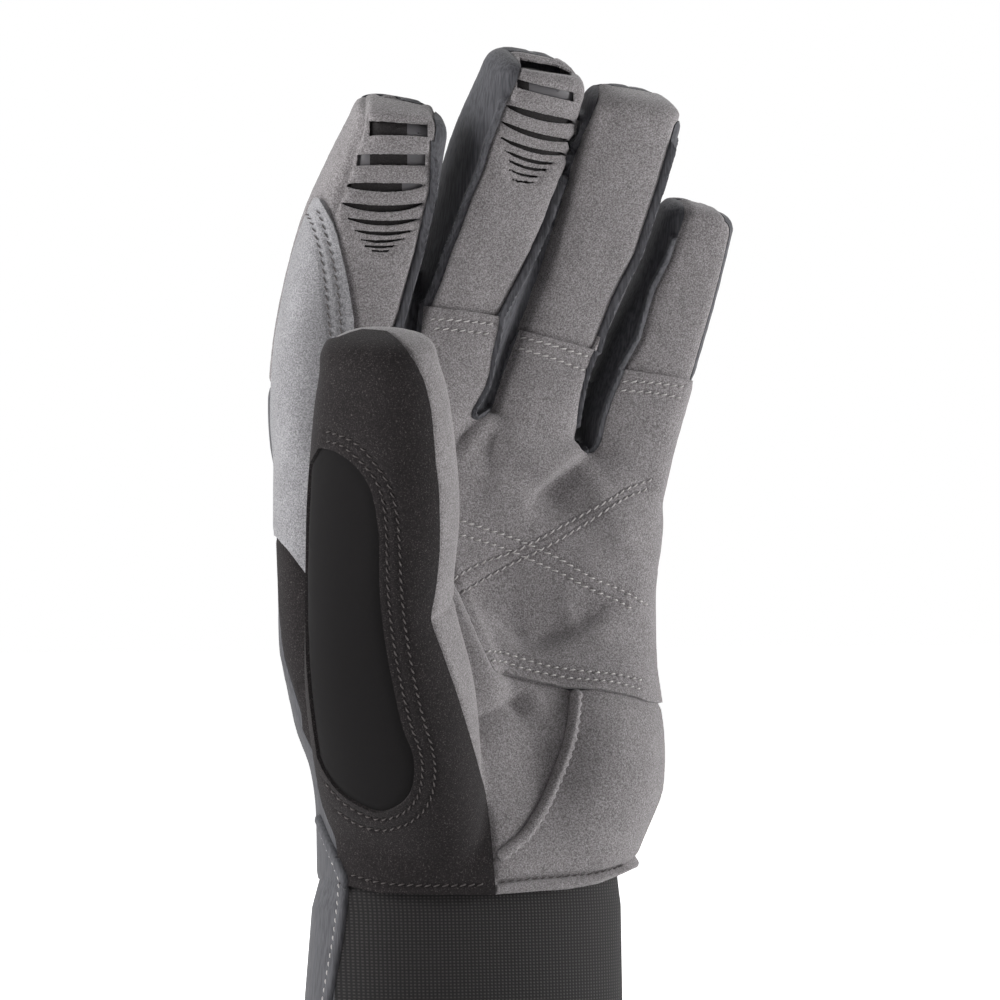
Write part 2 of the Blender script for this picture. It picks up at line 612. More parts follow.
def finger_strip(name):
    """The palm side of a finger, between its two seams and above the palm's edge."""
    left, base = np.array(STRIP_LEFT[name]), np.array(STRIP_BASE[name])
    right = np.array(STRIP_RIGHT.get(name, [[FAR, 0]]))

    def fields(points):
        x, y, along, half, deep = on_digit(name, points)
        across, z = facing(points).T
        drawn = (x < 0) if name not in STRIP_RIGHT else np.ones(len(x), bool)
        reach = -SIDE_STRIP + SIDE_REACH * np.where(drawn, np.clip(2 * np.abs(x) / half, 0, 1), 0)
        past_left = np.interp(z, left[:, 1], left[:, 0]) - across
        past_right = across - np.interp(z, right[:, 1], right[:, 0])
        past_base = np.interp(across, base[:, 0], base[:, 1]) - z
        return [np.abs(x) - half - SPARE_WIDTH, y - reach * deep, past_left, past_right, past_base,
                STRIP_START - along]

    return fields


POINTED_SAG = 0.35
SLOT_HALF_LENGTH = 8


def slot_place(row, across, z):
    """How far above a slot's middle line a place is, and its share of the way to either end."""
    from_across, from_z, to_across, to_z, _, sag = row
    share = (2 * across - from_across - to_across) / (to_across - from_across)
    return z - (from_z + (to_z - from_z) * (share + 1) / 2) + sag * (1 - share**2), share


def slot_hole(name, row):
    """A slot through a strip. One that sags is pointed at both ends."""
    arc = row[5] > POINTED_SAG

    def fields(points):
        x, y, _, half, _ = on_digit(name, points)
        above, share = slot_place(row, *facing(points).T)
        tall = row[4] / 2 * (np.sqrt(np.clip(1 - share**2, 0, 1)) if arc else 1)
        past_end = (np.abs(share) - 1) * SLOT_HALF_LENGTH
        return [np.abs(above) - tall, past_end, y, np.abs(x) - half - SPARE_WIDTH]

    return fields


def tip_fold(name):
    """The end of a strip that folds over the fingertip."""
    start = shaft_of(name) + TIP_FOLD_START * DIGITS[name][2]

    def fields(points):
        x, y, along, half, deep = on_digit(name, points)
        return [np.abs(x) - TIP_FOLD * half, start - along, y - TIP_FOLD_BACK * deep]

    return fields


def finger_side(name, side):
    """A finger's side behind its strip: -1 is the side towards the thumb, and 1 the other."""
    def fields(points):
        x, y, along, half, deep = on_digit(name, points)
        return [np.abs(x) - half - SPARE_WIDTH, y - SIDE_STRIP * deep, SIDES_START[name] - along, -side * x]

    return fields


def thumb_inset(points):
    """The wiping pad on the thumb."""
    x, y, along, half, _ = on_digit("thumb", points)
    return [inset_outline(points), np.abs(x) - half - THUMB_SPARE, -y, INSET_START - along, x - INSET_REACH]


def thumb_back(points):
    """The outer side of the thumb."""
    x, y, along, half, deep = on_digit("thumb", points)
    return [thumb_outline(points), np.abs(x) - half - THUMB_SPARE, -THUMB_BACK_EDGE * deep - y,
            THUMB_BACK_START - along]


def thumb_palm(points):
    """The inner side of the thumb."""
    x, y, along, half, deep = on_digit("thumb", points)
    return [np.abs(x) - half - THUMB_SPARE, y - THUMB_PALM_BACK * deep, -THUMB_PALM_FRONT * deep - y,
            THUMB_PALM_START - along]


thumb_outline = inside(np.vstack([rounded(THUMB_EDGE), [[-FAR, 184], [-FAR, 50]]]))
inset_outline = inside(rounded([*THUMB_INSET, THUMB_INSET[0]])[1:])
radial_outline = inside(np.vstack([rounded(RADIAL_EDGE), RADIAL_FOOT[1:], [[-FAR, 217.6]]]))
radial_base_outline = inside([[-22, 60], [-22, 131], *RADIAL_FOOT, [-FAR, 60]])
hem_band = inside(np.vstack([HEM_LINE, [[FAR, 30], [-FAR, 30]]]))
below_edge = inside(np.vstack([HEM_EDGE, [[FAR, 30], [-FAR, 30]]]))
gusset_left = [[-FAR, 136], [-FAR, 30], [4, 30]]
gusset_outline = inside(np.vstack([rounded(GUSSET_SEAM), gusset_left, rounded(PIPING_LINE)[::-1]]))
palm_top = [[-FAR, 186], *CROTCHES[0], *STRIP_BASE["middle"], *rounded(CROTCHES[1]), *STRIP_BASE["ring"],
            *rounded(CROTCHES[2]), *STRIP_BASE["little"], [FAR, 172]]
palm_outline = inside(np.vstack([rounded(HEEL_SEAM), rounded(GUSSET_SEAM)[1:], [[-FAR, 136]], palm_top]))
heel_outline = inside(np.vstack([HEEL_SEAM[:4], rounded(PIPING_LINE), [[4, 30], [FAR, 30]]]))
low_pad = inside([[FAR, 44], [FAR, 103], [-38, 103], [-36, 76], [-FAR, 70], [-FAR, 44]])

SLOTS = {
    # each slot runs from one place to another, with its height, and the sag of its middle
    "index": [
        (-22.1, 233.8, -7.3, 233.6, 3.9, 0), (-25, 226.3, -7.9, 226.2, 2.7, 0.1),
        (-27.6, 220.5, -8.2, 220.4, 2.2, 0.7), (-28.4, 216.3, -8.1, 216.3, 1.7, 1.5),
        (-27, 212.7, -9.2, 212.7, 1.25, 1.2), (-25, 209.8, -11, 209.9, 1, 0.8),
        (-23.8, 207.7, -13, 208, 0.75, 0.6), (-23, 206.3, -14.8, 206.4, 0.65, 0.4),
        (-21.6, 205.3, -16.2, 205.3, 0.5, 0.36),
    ],
    "middle": [
        (14, 250.6, 26.8, 249.2, 2.8, 0.2), (13.1, 244.9, 27.4, 241.8, 2.4, 0.3),
        (10.2, 239.6, 27.8, 236, 1.8, 0.9), (8.8, 236, 27, 231.7, 1.4, 1.3),
        (9.1, 232.1, 26.4, 228.7, 1.2, 1.4), (10.2, 229.2, 23, 226.3, 0.95, 1.1),
        (11.2, 226.8, 20.9, 224.7, 0.8, 0.8), (11.4, 224.6, 19.2, 223.1, 0.7, 0.6),
        (12.1, 222.4, 17.8, 221.6, 0.55, 0.36),
    ],
}
REGIONS = [
    ("trimmed", lambda p: [below_edge(p)]),
    ("thumb_inset", thumb_inset),
    ("thumb_back", thumb_back),
    ("thumb_back", lambda p: [thumb_outline(p), to_palm_side(p), low_pad(p)]),
    ("radial_panel", lambda p: [radial_outline(p), to_palm_side(p), THUMB_DIVIDE - p[:, 1]]),
    *[(f"{name}_strip", finger_strip(name)) for name in STRIP_LEFT],
    *[(f"{name}_strip", tip_fold(name)) for name in STRIP_LEFT],
    ("thumb_palm", thumb_palm),
    ("radial_base", lambda p: [radial_base_outline(p), to_palm_side(p)]),
    ("heel_hem", lambda p: [hem_band(p), to_palm_side(p)]),
    ("thenar_gusset", lambda p: [gusset_outline(p), to_palm_side(p)]),
    ("palm_panel", lambda p: [palm_outline(p), to_palm_side(p)]),
    ("heel_panel", lambda p: [heel_outline(p), to_palm_side(p)]),
    ("index_side", finger_side("index", -1)),
    ("fourchette_index_middle", finger_side("index", 1)),
    ("fourchette_index_middle", finger_side("middle", -1)),
    ("fourchette_middle_ring", finger_side("middle", 1)),
    ("fourchette_middle_ring", finger_side("ring", -1)),
    ("fourchette_ring_little", finger_side("ring", 1)),
    ("fourchette_ring_little", finger_side("little", -1)),
]

# The skin is cut along every field of every region, and a face then belongs to the first region that
# holds its middle. The back is what is left.
for _, fields in REGIONS:
    values = np.array(fields(skin))
    for number in range(len(values)):
        count = len(skin)
        others = np.delete(values, number, axis=0).max(0) if len(values) > 1 else np.full(count, -1.0)
        skin, skin_normals, skin_faces = cut_along(skin, skin_normals, skin_faces, values[number], others)
        values = np.hstack([values, fields(skin[count:])])
centres = skin[skin_faces].mean(1)
owner = np.full(len(centres), len(REGIONS))
for number, (_, fields) in enumerate(REGIONS):
    holds = np.array(fields(centres)).max(0) < 0
    owner[holds & (owner == len(REGIONS))] = number

panel_faces = {"back_panel": [skin_faces[owner == len(REGIONS)]]}
for number, (name, _) in enumerate(REGIONS):
    panel_faces.setdefault(name, []).append(skin_faces[owner == number])
panel_faces = {name: np.vstack(groups) for name, groups in panel_faces.items()}


# Cloth: each panel is a sheet a little over a millimetre thick. Its edge is turned in where it is sewn
# face to face with the next, and lies on top with a cut edge where it laps over it.
CLOTH = 1.2
SHARP_EDGE = math.radians(48)


WELT_RISE = 1.7
WELT_FROM_EDGE = 0.7
WELT_WIDTH = 0.75
SMALLEST_SCRAP = 60


def open_edges(faces):
    """The edges along the rim of a sheet, which only one face has."""
    edges = edges_of(faces)
    _, first, uses = np.unique(np.sort(edges, axis=1), axis=0, return_index=True, return_counts=True)
    return edges[first[uses == 1]]


def with_back(faces, count):
    """A sheet's faces, those of its back, a count of points further on, and the walls along its rim."""
    rim = open_edges(faces)
    walls = np.stack([rim[:, 1], rim[:, 0], rim[:, 0] + count, rim[:, 1] + count], axis=1)
    return faces.tolist() + (faces[:, ::-1] + count).tolist() + walls.tolist()


def without_scraps(faces, count):
    """The faces that hang together in large enough pieces."""
    label, edges = np.arange(count), edges_of(faces)
    while True:
        lower = np.minimum(label[edges[:, 0]], label[edges[:, 1]])
        after = label.copy()
        np.minimum.at(after, edges[:, 0], lower)
        np.minimum.at(after, edges[:, 1], lower)
        after = after[after]
        if (after == label).all():
            break
        label = after
    sizes = np.bincount(label[faces[:, 0]], minlength=count)
    return faces[sizes[label[faces[:, 0]]] > SMALLEST_SCRAP]


def refined(points, normals, faces):
    """Every face cut into four."""
    edges, place = np.unique(np.sort(edges_of(faces), axis=1), axis=0, return_inverse=True)
    ab, bc, ca = (len(points) + place.reshape(3, -1)).reshape(3, -1)
    a, b, c = faces.T
    points = np.vstack([points, points[edges].mean(1)])
    normals = np.vstack([normals, unit(normals[edges].mean(1))])
    faces = np.vstack([np.stack(f, axis=1) for f in ((a, ab, ca), (ab, b, bc), (ca, bc, c), (ab, bc, ca))])
    return points, normals, faces


def nearest_distance(points, marks):
    """How far each point is from the nearest of the marks."""
    tree = KDTree(len(marks))
    for i, mark in enumerate(marks):
        tree.insert(mark, i)
    tree.balance()
    return np.array([tree.find(p)[2] for p in points])


def place_piece(made, node=None):
    """Fixes a piece to the glove, in the place of a solid, with a slot for its material."""
    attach(made, "root")
    if node:
        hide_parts(node)


class Cloth:
    """A panel's outer face while it is being shaped."""

    def __init__(self, name, fine=True, rise=0.0, roll=0.6, roll_width=1.1, rolled=lambda places: True,
                 holes=(), welt=None):
        faces = without_scraps(panel_faces[name], len(skin))
        used, faces = np.unique(faces, return_inverse=True)
        self.name, self.faces = name, faces.reshape(-1, 3)
        self.base, self.normals = skin[used], skin_normals[used]
        if fine:
            self.base, self.normals, self.faces = refined(self.base, self.normals, self.faces)
        # The first two fields of a hole are its edges and its ends.
        for hole in holes:
            for number in range(2):
                values = np.array(hole(self.base))
                others = np.delete(values, number, axis=0).max(0)
                cut = cut_along(self.base, self.normals, self.faces, values[number], others)
                self.base, self.normals, self.faces = cut
            self.faces = self.faces[np.array(hole(self.base[self.faces].mean(1))).max(0) > 0]
        rim = self.base[np.unique(open_edges(self.faces))]
        turned = rim[np.broadcast_to(rolled(rim), len(rim))]
        self.height = np.full(len(self.base), float(rise))
        if len(turned) and roll:
            near = nearest_distance(self.base, turned)
            self.height -= (roll + rise) * np.exp(-((near / roll_width) ** 2))
        if welt:
            near = nearest_distance(self.base, rim[welt(rim)])
            self.height += WELT_RISE * np.exp(-(((near - WELT_FROM_EDGE) / WELT_WIDTH) ** 2))

    @property
    def points(self):
        return self.base + self.normals * self.height[:, None]

    def surface(self):
        return BVHTree.FromPolygons(self.points.tolist(), self.faces.tolist())

    def press(self, marks, depth, width):
        """Dents the cloth round the marks."""
        self.height -= depth * np.exp(-((nearest_distance(self.points, marks) / width) ** 2))

    def sheet(self, material, thickness=CLOTH):
        """Makes the panel as a closed sheet with a back and a rim."""
        faces = with_back(self.faces, len(self.base))
        back = self.base - self.normals * thickness
        made = new_object(self.name + "_cloth", np.vstack([self.points, back]), faces)
        made.data.set_sharp_from_angle(angle=SHARP_EDGE)
        made.data.materials.append(material)
        place_piece(made, self.name)


# Microsuede: polyester fibre felted and brushed to a short nap, dyed through. It is matt, with a soft
# sheen at the edges and a fine mottled grain where the nap lies one way or the other.
SUEDE_GRAIN = 0.36
SUEDE_PATCH = 9


def colour_ramp(tree, value, first, last, *between):
    """The colours of a value between its first and last, each given as a place and a hex colour."""
    made = add_node(tree, "ShaderNodeValToRGB", {"Fac": value})
    elements = made.color_ramp.elements
    elements[0].position, elements[1].position = first[0], last[0]
    elements[0].color, elements[1].color = linear(first[1]), linear(last[1])
    for place, colour in between:
        elements.new(place).color = linear(colour)
    return made.outputs[0]


def dress(tree, shader, colour, height, strength, distance):
    """Gives the shader its colour, and bumps from a height, with their depth in millimetres."""
    bump = {"Height": height, "Strength": strength, "Distance": distance * MM}
    tree.links.new(colour, shader.inputs["Base Color"])
    tree.links.new(add_node(tree, "ShaderNodeBump", bump).outputs[0], shader.inputs["Normal"])


def microsuede(name, middle, dark, light, sheen=0.25, spread=(0.36, 0.5, 0.66), roughness=0.92):
    made, tree, shader = new_material(name, {
        "Roughness": roughness, "Specular IOR Level": 0.25, "Sheen Weight": sheen, "Sheen Roughness": 0.5,
    })
    where = add_node(tree, "ShaderNodeTexCoord").outputs["Object"]
    nap = {"Vector": where, "Scale": 1 / (SUEDE_GRAIN * MM), "Detail": 3.0, "Roughness": 0.7}
    mottle = {"Vector": where, "Scale": 1 / (SUEDE_PATCH * MM), "Detail": 4.0, "Roughness": 0.62}
    grain = add_node(tree, "ShaderNodeTexNoise", nap).outputs[0]
    patch = add_node(tree, "ShaderNodeTexNoise", mottle).outputs[0]
    ramp = colour_ramp(tree, grain, (spread[0], dark), (spread[2], light), (spread[1], middle))
    shade = add_node(tree, "ShaderNodeMapRange", {
        "Value": patch, "From Min": 0.3, "From Max": 0.7, "To Min": 0.9, "To Max": 1.09,
    })
    tone = add_node(tree, "ShaderNodeVectorMath", {0: ramp, 1: shade.outputs[0]}, operation="MULTIPLY")
    dress(tree, shader, tone.outputs[0], grain, strength=0.55, distance=0.25)
    return made


grey_suede = microsuede("grey_microsuede_brushed", "#868283", "#625e5f", "#a8a4a6")
light_suede = microsuede("light_grey_microsuede_brushed", "#959497", "#757477", "#b3b2b5")
black_suede = microsuede(
    "black_microsuede_brushed", "#2a2627", "#1c191a", "#625d5c", sheen=0.06, spread=(0.4, 0.58, 0.74)
)


# Softshell: a knitted polyester face bonded to fleece. It is matt, and the face shows fine ribs along
# the hand.
RIB = 0.45
RIB_LENGTH = 7


def softshell(name, face, groove):
    made, tree, shader = new_material(name, {
        "Roughness": 0.75, "Specular IOR Level": 0.35, "Sheen Weight": 0.2, "Sheen Roughness": 0.4,
    })
    where = add_node(tree, "ShaderNodeTexCoord").outputs["Object"]
    stretch = (1 / (RIB * MM), 1 / (RIB * MM), 1 / (RIB_LENGTH * MM))
    along = add_node(tree, "ShaderNodeMapping", {"Vector": where, "Scale": stretch}).outputs[0]
    ribs = add_node(tree, "ShaderNodeTexNoise", {"Vector": along, "Scale": 1.0, "Detail": 2.0}).outputs[0]
    colour = colour_ramp(tree, ribs, (0.36, groove), (0.62, face))
    dress(tree, shader, colour, ribs, strength=0.4, distance=0.2)
    return made


dark_softshell = softshell("dark_softshell_knitted", "#56565b", "#3e3e42")
grey_softshell = softshell("grey_softshell_knitted", "#5b5b5f", "#48484c")


# Thread: bonded polyester, in a lockstitch, light grey on the palm and the cuff and dark grey elsewhere,
# with a slight shine. Each stitch dips into the cloth at both ends and lies a little askew.
THREAD = 0.36
THREAD_SIDES = 6
PITCH = 2.1
STITCH = 1.5
STITCH_SLANT = 0.32
STITCH_HEIGHTS = np.array([-0.65, 0.12, 0.3, 0.12, -0.65])
STITCH_WIDTHS = np.array([0.55, 0.95, 1, 0.95, 0.55])
FIRST_STITCH = 0.3
NORMALS_REACH = 4
RAY_START = 200
LINE_STEP = 0.25
GROOVE_WIDTH = 0.8
HOLE_DEPTH, HOLE_WIDTH = 0.3, 0.5
grey_thread, dark_thread = [
    new_material(name, {"Base Color": linear(colour), "Roughness": 0.5})[0]
    for name, colour in (("grey_polyester_thread", "#c9c5c4"), ("dark_grey_polyester_thread", "#524d4c"))
]


def laid_on(cloth_list, row, step):
    """A line in the facing plane, laid straight back on the cloth: its points and the cloth's normals."""
    trees = [cloth.surface() for cloth in cloth_list]
    points, normals = [], []
    for s, z in smooth_line(row, step):
        start = Vector(ACROSS * s - INTO * RAY_START + np.array([0, 0, z]))
        hits = [hit for hit in (tree.ray_cast(start, Vector(INTO)) for tree in trees) if hit[0] is not None]
        if hits:
            place, normal, _, _ = min(hits, key=lambda hit: hit[3])
            points.append(place)
            normals.append(normal)
    return np.array(points), np.array(normals)


def softened(normals, reach):
    """Normals along a line, each the mean of its neighbours within reach."""
    window = np.ones(2 * reach + 1) / (2 * reach + 1)
    padded = np.pad(normals, ((reach, reach), (0, 0)), mode="edge")
    return unit(np.stack([np.convolve(column, window, mode="valid") for column in padded.T], axis=1))


def sewn(name, cloth_list, rows, thread, groove=0.16):
    """Rows of stitches on the cloth. The cloth is dented along them."""
    holes, path, points, faces = [], [], [], []
    turns = np.linspace(0, 2 * math.pi, THREAD_SIDES, endpoint=False)[None, :, None]
    for row in rows:
        line, normals = laid_on(cloth_list, row, LINE_STEP)
        normals = softened(normals, NORMALS_REACH)
        run = run_along(line)
        path.append(line)
        for start in np.arange(FIRST_STITCH, run[-1] - STITCH, PITCH):
            at = np.linspace(start, start + STITCH, len(STITCH_HEIGHTS))
            bent, up = sampled(line, run, at), unit(sampled(normals, run, at))
            sideways = unit(np.cross(up, unit(bent[-1] - bent[0])))
            askew = np.linspace(-STITCH_SLANT, STITCH_SLANT, len(at)) * STITCH / 2
            bent = bent + sideways * askew[:, None] + up * (THREAD * STITCH_HEIGHTS)[:, None]
            holes += [bent[0], bent[-1]]
            section = np.cos(turns) * sideways[:, None] + np.sin(turns) * up[:, None]
            rings = bent[:, None] + (THREAD / 2 * STITCH_WIDTHS)[:, None, None] * section
            stitch_points, stitch_faces = loft(rings)
            faces += [[len(points) + i for i in face] for face in stitch_faces]
            points += stitch_points.tolist()
    for cloth in cloth_list:
        cloth.press(np.vstack(path)[::2], groove, GROOVE_WIDTH)
        cloth.press(holes, HOLE_DEPTH, HOLE_WIDTH)
    made = new_object(name, points, faces)
    made.data.materials.append(thread)
    place_piece(made)


# The palm: one panel of grey microsuede from the heel seam to the roots of the fingers. It laps over the
# panels above and below with a cut edge and two rows of stitches, and two double rows cross its middle.
SIDE_SEAM_REACH = 1.0
GUSSET_REACH = 0.4
gusset_field = inside([*rounded(GUSSET_SEAM), [-30, 120], [4, 104]])


def near_side_seam(places):
    return np.abs(to_palm_side(places)) < SIDE_SEAM_REACH


def near_turned_seam(places):
    return near_side_seam(places) | (gusset_field(places) < GUSSET_REACH)


palm = Cloth("palm_panel", rise=0.6, rolled=near_turned_seam)
PALM_ROWS = [
    [(-4, 142.8), (4.8, 139.8), (13.2, 136.9), (22.9, 132.5), (31.3, 127.6), (38.5, 124.6), (44.8, 121)],
    [(-4, 139.3), (2.8, 137.2), (11.4, 134.3), (18.9, 131), (24.7, 128.3), (30, 125.4), (37.2, 122.2),
     (41.2, 120)],
    [(-4, 126), (3.5, 130.8), (11.9, 133.8), (17.2, 136.3), (25.1, 140.7), (34.6, 145.9), (40.1, 149.2),
     (46.5, 151.5)],
    [(-4, 121.8), (6.1, 127.9), (12.3, 131.2), (18.5, 134.2), (23.8, 137.1), (30.2, 141), (36.1, 144.9),
     (40.1, 147.2), (46.1, 149.6)],
    [(5.6, 110.6), (10.1, 110), (14.9, 108.4), (21.1, 106.7), (26.9, 105.8), (32.2, 105.2), (38, 104.5),
     (44.3, 102.8)],
    [(6.5, 108.4), (10.5, 107.8), (15.4, 106.1), (25.1, 104), (30.9, 103.5), (36.7, 102.8), (43.9, 100.7)],
    [(-7.7, 189.4), (0, 189), (8.2, 188.2)],
    [(-6.8, 187.2), (0, 186.7), (7.7, 185.8)],
    [(13.8, 185.4), (22, 183.3), (31, 180.5)],
    [(13.3, 182.8), (22, 180.2), (30.5, 177)],
    [(38.3, 175), (46, 174.6), (53.6, 173.7)],
    [(37.8, 172.8), (46, 172.2), (53.1, 171)],
]
sewn("palm_stitching", [palm], PALM_ROWS, grey_thread)
palm.sheet(grey_suede)

# The heel of the hand: a gusset of grey microsuede between the thumb and the palm, and the heel panel at
# the little finger's side. Both are turned in where they meet, under a rolled and stitched edge.
gusset = Cloth("thenar_gusset", roll=0.7)
heel = Cloth("heel_panel", roll=0.5)

# The hem: the suede's lower edge folded under and held by one row of stitches, so it stands proud.
hem = Cloth("heel_hem", rise=1.0, roll=0.3, roll_width=0.7)
HEM_FADE = 16
HEM_TUCK, HEM_TUCK_REACH = 1.7, 9
hem.height *= np.clip(-to_palm_side(hem.base) / HEM_FADE, 0, 1)
hem.height -= HEM_TUCK * np.exp(-((to_palm_side(hem.base) / HEM_TUCK_REACH) ** 2))
HEM_ROWS = [[(9, 56.1), (17, 56.8), (25.2, 57.2), (31.6, 57.7), (38.1, 59), (42.2, 60.9), (46, 62)]]
sewn("hem_stitching", [gusset, heel, hem], HEM_ROWS, dark_thread, groove=0.7)
gusset.sheet(grey_suede)
heel.sheet(grey_suede)
hem.sheet(grey_suede, thickness=2.0)

# The rolled edge: a doubled strip of suede that stands up along the seam between gusset and heel. Its
# side towards the little finger is puckered by the stitches under it.
PUCKER_LENGTH, PUCKER_DROP = 2.1, 0.25
BEAD_STEP = 0.4
BEAD_SIDES = 20
BEAD_SINK = 0.6
BEAD_FLATNESS = 0.7
BEAD_TAPER = (0.55, 0.85)
BEAD_NORMALS_REACH = 5


def bead(name, cloth_list, row, material, width, rise, pucker=0.0):
    """A rounded strip along a line on the cloth, tapered at both ends."""
    points, normals = laid_on(cloth_list, row, BEAD_STEP)
    normals = softened(normals, BEAD_NORMALS_REACH)
    sideways = unit(np.cross(unit(np.gradient(points, axis=0)), normals))
    turns = np.linspace(0, 2 * math.pi, BEAD_SIDES, endpoint=False)
    wave = pucker * np.abs(np.sin(run_along(points) * math.pi / PUCKER_LENGTH))
    square = np.sign(np.cos(turns)) * np.abs(np.cos(turns)) ** BEAD_FLATNESS
    wide = (width / 2 - np.outer(wave, np.clip(np.cos(turns), 0, 1))) * square
    high = np.where(np.sin(turns) > 0, rise - PUCKER_DROP * wave[:, None], BEAD_SINK) * np.sin(turns)
    rings = points[:, None] + wide[..., None] * sideways[:, None] + high[..., None] * normals[:, None]
    for i, share in enumerate(BEAD_TAPER):
        for j in (i, len(rings) - 1 - i):
            rings[j] = points[j] + (rings[j] - points[j]) * share
    made = new_object(name, *loft(rings))
    made.data.materials.append(material)
    return made


ROLL_LINE = [(27.6, 102), *[(s + 0.8, z) for s, z in PIPING_LINE[1:-1]], (9, 61.6)]
roll = bead("heel_rolled_edge", [gusset, heel], ROLL_LINE[::-1], grey_suede, width=3.3, rise=1.9, pucker=0.55)
place_piece(roll, "heel_piping")

# The light grey panel on the thumb's side of the hand, lapped over the index finger's panels and held by
# two rows of stitches, and the black suede below it.
radial = Cloth("radial_panel", rise=0.7, rolled=near_side_seam)
RADIAL_ROWS = [
    [(-37.2, 215), (-35.2, 211), (-32.9, 203), (-31.7, 193.6), (-31, 184), (-31.4, 172)],
    [(-34.2, 215.2), (-32.6, 211), (-30.3, 203), (-28.9, 193.6), (-28.4, 184), (-28.8, 172)],
]
sewn("radial_stitching", [radial], RADIAL_ROWS, dark_thread, groove=0.3)
radial.sheet(light_suede)
Cloth("radial_base", fine=False, roll=0.5).sheet(black_suede)

# The thumb: black suede over its outer side down to the wrist, with a smooth wiping pad let into it, and
# grey suede on the inner side. Two rows of stitches run round the pad.
thumb_black = Cloth("thumb_back", rise=0.6, roll=0.0)
PAD_ROWS = [
    [(-31, 159.9), (-27.7, 159.1), (-24.7, 157), (-21, 153.3), (-18.6, 149.5), (-17.2, 143.7),
     (-16.8, 136.4), (-16.6, 126), (-15.5, 114.6), (-13.7, 104), (-11.5, 94.3), (-9.4, 88), (-8.9, 83.2),
     (-9.9, 77.5), (-13, 73.4), (-18.2, 71.3), (-23, 72.3), (-28.6, 75.8), (-33, 81)],
    [(-31, 162.2), (-26.2, 160.6), (-22.5, 158.2), (-19.5, 154.7), (-16.4, 150), (-14.6, 143.9),
     (-13.9, 136.4), (-13.5, 126), (-12.6, 116.5), (-10.8, 105.5), (-8.6, 95.5), (-6.7, 88.8), (-6, 82.5),
     (-7.4, 75.7), (-11.6, 71), (-18, 68.7), (-24.2, 69.8), (-29.8, 73.4)],
    [(-26.3, 57.9), (-19.1, 56.2), (-9.7, 55.6), (2.1, 55.6), (6.5, 55.7)],
]
sewn("thumb_stitching", [thumb_black], PAD_ROWS, dark_thread)
thumb_black.sheet(black_suede)

# Microfibre, tightly knitted and smooth: nearly black, with hardly any sheen.
WIPE_WEAVE = 0.4
wipe, wipe_tree, wipe_shader = new_material("black_microfibre_smooth", {
    "Roughness": 0.85, "Specular IOR Level": 0.2, "Sheen Weight": 0.03,
})
wipe_where = add_node(wipe_tree, "ShaderNodeTexCoord").outputs["Object"]
weave = {"Vector": wipe_where, "Scale": 1 / (WIPE_WEAVE * MM), "Detail": 2.0}
wipe_weave = add_node(wipe_tree, "ShaderNodeTexNoise", weave).outputs[0]
wipe_colour = colour_ramp(wipe_tree, wipe_weave, (0, "#0e0c0d"), (1, "#151314"))
wipe_tree.links.new(wipe_colour, wipe_shader.inputs["Base Color"])
Cloth("thumb_inset", fine=False, roll=0.3).sheet(wipe)
Cloth("thumb_palm", roll=0.4).sheet(grey_suede)

# The fingers: a strip of grey suede down each palm side, folded over the tip. The ring and little
# fingers have it whole.
for finger in ("ring", "little"):
    Cloth(f"{finger}_strip").sheet(grey_suede)

# The index and middle fingers have slots cut through the strip near the tip, and behind them a printed
# pad, black with bands of film. The print is satin black, and the film a glossy grey that mirrors the
# lamps.
grip_black = microsuede("black_silicone_print", "#232021", "#1a1718", "#2f2c2d", sheen=0.0, roughness=0.6)
grip_film, _, _ = new_material("grey_polyurethane_film", {
    "Base Color": linear("#5f5d60"), "Roughness": 0.28, "Specular IOR Level": 0.5,
})
PAD_DEPTH = 1.9
PAD_THICKNESS = 0.8
PAD_BELOW_SLOTS = 3
PAD_WIDTH_SHARE, PAD_FRONT_SHARE = 0.97, 0.3
FILM = {
    # film shows between two places across, and between two heights
    "index": [(-12.7, 0, 222.5, 240), (-30, -21.5, 222.5, 240), (-14, 0, 217, 222.5)],
    "middle": [(16, 26.5, 239.5, 247)],
}


def pad_faces(finger):
    """The faces of the strip's skin that lie over the pad."""
    faces = panel_faces[f"{finger}_strip"]
    centres = skin[faces].mean(1)
    x, y, _, half, deep = on_digit(finger, centres)
    lowest = SLOTS[finger][-1][1] - PAD_BELOW_SLOTS
    within = (np.abs(x) < PAD_WIDTH_SHARE * half) & (facing(centres)[:, 1] > lowest)
    return faces[within & (y < -PAD_FRONT_SHARE * deep)]


for finger, rows in SLOTS.items():
    holes = [slot_hole(finger, row) for row in rows]
    strip = Cloth(f"{finger}_strip", roll=0.7, roll_width=1.0, holes=holes)
    strip.sheet(grey_suede)
    used, faces = np.unique(pad_faces(finger), return_inverse=True)
    faces = faces.reshape(-1, 3)
    points, normals = skin[used] - skin_normals[used] * PAD_DEPTH, skin_normals[used]
    for low_across, high_across, *_ in FILM[finger]:
        for edge in (low_across, high_across):
            beside = facing(points)[:, 0] - edge
            points, normals, faces = cut_along(points, normals, faces, beside, np.full(len(beside), -1.0))
    both = np.vstack([points, points - normals * PAD_THICKNESS])
    pad = new_object(f"{finger}_pad", both, with_back(faces, len(points)))
    pad.data.materials.append(grip_black)
    pad.data.materials.append(grip_film)
    across, z = facing(points[faces].mean(1)).T
    film = np.zeros(len(pad.data.polygons), int)
    for low_across, high_across, low_z, high_z in FILM[finger]:
        film[: len(faces)] |= (across > low_across) & (across < high_across) & (z > low_z) & (z < high_z)
    pad.data.polygons.foreach_set("material_index", film)
    place_piece(pad, f"{finger}_grip")

# The sides of the fingers: grey suede on the outer side of the index finger, and dark softshell between
# the fingers, with a turned seam along each edge on the palm side.
Cloth("index_side", roll=1.0, roll_width=1.5).sheet(grey_suede)
WELT_REACH = 2
BELOW_TIP = 3


